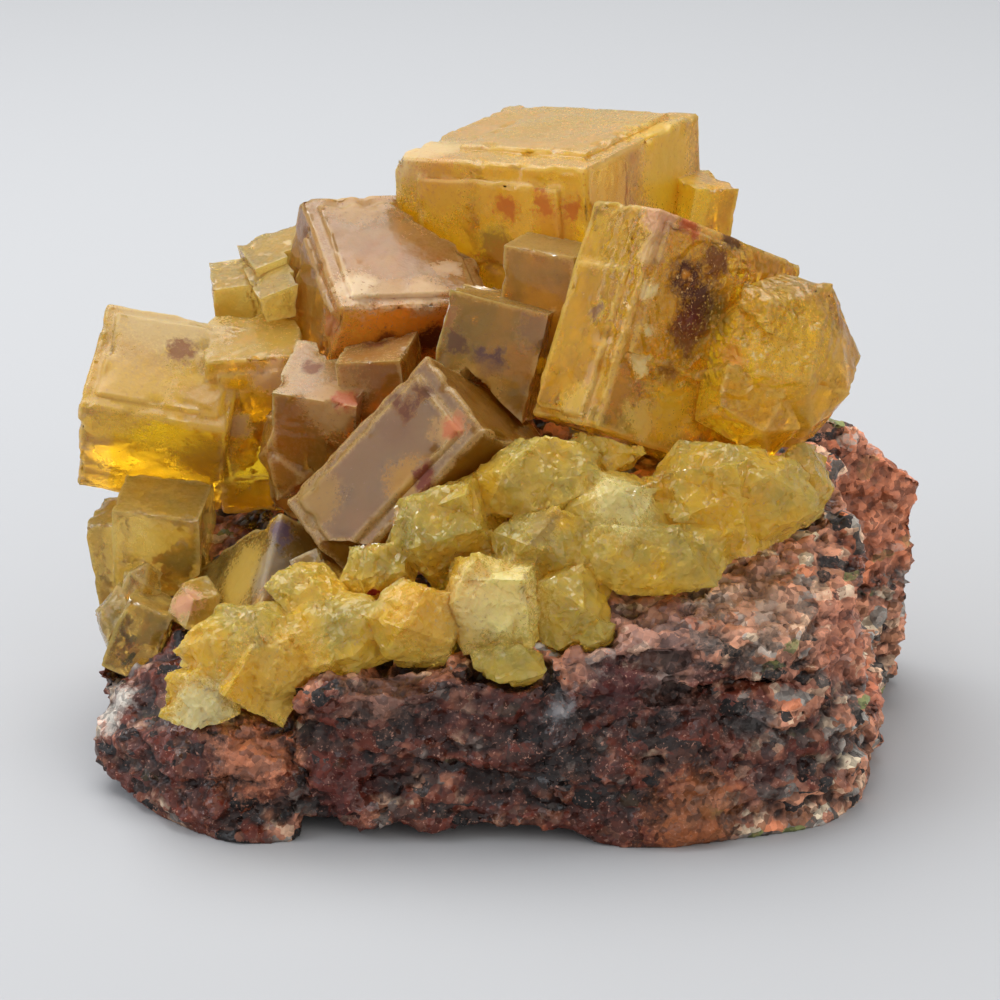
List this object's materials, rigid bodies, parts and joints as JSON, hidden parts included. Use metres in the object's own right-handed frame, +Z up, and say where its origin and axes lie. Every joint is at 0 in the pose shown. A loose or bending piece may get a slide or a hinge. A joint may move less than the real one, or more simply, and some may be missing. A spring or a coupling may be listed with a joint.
{
  "type": "fluorite crystal cluster on granite matrix",
  "caption": "Twinned and intergrown honey-yellow fluorite cubes with a crust of broken crystals, rooted in a lump of pink granite.",
  "frame": {"origin": "middle of the specimen's footprint box, on the surface that the granite stands on", "axes": "+Z up, -Y towards the show side, +X to the right seen from the show side and along the specimen's longest side"},
  "size_m": [0.0566, 0.0452, 0.0375],
  "materials": {
    "granite": "rough broken pink granite with quartz, dark iron stains and specks",
    "fluorite_honey": "clear to milky honey-yellow fluorite with brown iron stains",
    "fluorite_stained": "smoky brown-tan fluorite with pinkish frosting",
    "fluorite_zoned": "pale fluorite with purple zones along its edges",
    "fluorite_yellow": "glittering broken lemon-yellow fluorite"
  },
  "bodies": {
    "root": {"granite_matrix": "granite", "top_crystal": "fluorite_honey", "right_crystal": "fluorite_honey", "left_twin": "fluorite_honey", "upper_left_crystal": "fluorite_stained", "centre_crystal": "fluorite_stained", "inner_crystals": "fluorite_stained", "purple_edged_crystal": "fluorite_zoned", "zoned_crystal": "fluorite_zoned", "front_crust": "fluorite_yellow", "back_crust": "fluorite_yellow", "back_left_crystals": "fluorite_yellow", "left_edge_crystals": "fluorite_yellow"}
  },
  "joints": []
}
